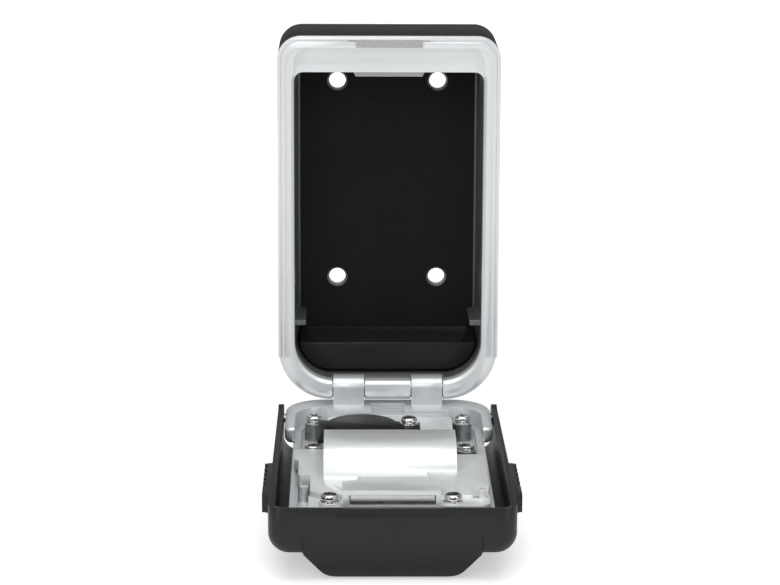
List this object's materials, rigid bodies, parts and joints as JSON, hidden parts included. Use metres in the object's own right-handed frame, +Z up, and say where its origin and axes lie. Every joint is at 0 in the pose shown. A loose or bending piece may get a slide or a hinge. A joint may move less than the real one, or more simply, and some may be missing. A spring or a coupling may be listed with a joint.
{
  "type": "key box",
  "caption": "Wall-mounted key box standing open, with a lift-up door, number wheels, sliding latch, key tray and hinged weather cover",
  "frame": {"origin": "middle of the four mounting holes on the back face", "axes": "+X to the right seen from the front, +Y out of the back towards the wall, +Z up; the open door lies along -Y"},
  "size_m": [0.076, 0.149, 0.1444],
  "materials": {
    "silver_cast": "satin silver paint over die-cast zinc",
    "silver_cast_door": "satin silver paint over die-cast zinc",
    "silver_cast_mechanism": "satin silver paint over die-cast zinc",
    "black_jacket": "fine-grained black plastic",
    "black_cover": "satin black plastic",
    "black_liner": "matte black sheet",
    "black_tray": "satin black plastic",
    "strike_steel": "plain steel sheet",
    "pin_steel": "ground steel",
    "bezel_black": "black plastic",
    "spring_steel": "spring steel sheet",
    "battery_cover_black": "black plastic",
    "cell_steel": "bright steel can",
    "screw_nickel": "bright nickel plate",
    "board_green": "circuit board lacquer",
    "lens_clear": "clear lens",
    "button_rubber": "black rubber",
    "bolt_nickel": "bright plated steel",
    "wheel_black": "black moulded wheel",
    "cam_brass": "plain brass"
  },
  "bodies": {
    "case": {"body_casting": "silver_cast", "body_jacket": "black_jacket", "back_liner": "black_liner", "key_tray": "black_tray", "strike_plate": "strike_steel", "hinge_pin": "pin_steel"},
    "door": {"door_casting": "silver_cast_door", "mechanism_cover": "silver_cast_mechanism", "dial_bezel": "bezel_black", "wheel_axle": "pin_steel", "detent_spring": "spring_steel", "battery_cover": "battery_cover_black", "coin_cell": "cell_steel", "battery_clip": "spring_steel", "battery_cover_screw": "screw_nickel", "post_screws": "screw_nickel", "front_screws": "screw_nickel", "light_board": "board_green", "light_lens": "lens_clear", "cover_pins": "pin_steel"},
    "cover": {"weather_cover": "black_cover"},
    "latch": {"latch_bolt": "bolt_nickel", "release_lever": "bezel_black"},
    "button": {"light_button": "button_rubber"},
    "reset": {"reset_lever": "bolt_nickel"},
    "dial_1": {"number_wheel_1": "wheel_black", "code_cam_1": "cam_brass"},
    "dial_2": {"number_wheel_2": "wheel_black", "code_cam_2": "cam_brass"},
    "dial_3": {"number_wheel_3": "wheel_black", "code_cam_3": "cam_brass"},
    "dial_4": {"number_wheel_4": "wheel_black", "code_cam_4": "cam_brass"}
  },
  "joints": [
    {"name": "lid_hinge", "type": "hinge", "parent": "case", "child": "door", "pos_m": [0, -0.034, -0.063], "axis": [-1, 0, 0], "range_deg": [0, 90]},
    {"name": "cover_hinge", "type": "hinge", "parent": "door", "child": "cover", "pos_m": [0, -0.0373, -0.0729], "axis": [1, 0, 0], "range_deg": [0, 100]},
    {"name": "latch_slide", "type": "slide", "parent": "door", "child": "latch", "axis": [0, -1, 0], "range_m": [0, 0.004]},
    {"name": "light_press", "type": "slide", "parent": "door", "child": "button", "axis": [0, 0, 1], "range_m": [0, 0.0008], "stiffness_N_per_m": 400},
    {"name": "reset_slide", "type": "slide", "parent": "door", "child": "reset", "axis": [-1, 0, 0], "range_m": [0, 0.0016]},
    {"name": "dial_1_turn", "type": "hinge", "parent": "door", "child": "dial_1", "pos_m": [0, -0.1066, -0.0715], "axis": [1, 0, 0], "continuous": true},
    {"name": "dial_2_turn", "type": "hinge", "parent": "door", "child": "dial_2", "pos_m": [0, -0.1066, -0.0715], "axis": [1, 0, 0], "continuous": true},
    {"name": "dial_3_turn", "type": "hinge", "parent": "door", "child": "dial_3", "pos_m": [0, -0.1066, -0.0715], "axis": [1, 0, 0], "continuous": true},
    {"name": "dial_4_turn", "type": "hinge", "parent": "door", "child": "dial_4", "pos_m": [0, -0.1066, -0.0715], "axis": [1, 0, 0], "continuous": true}
  ]
}
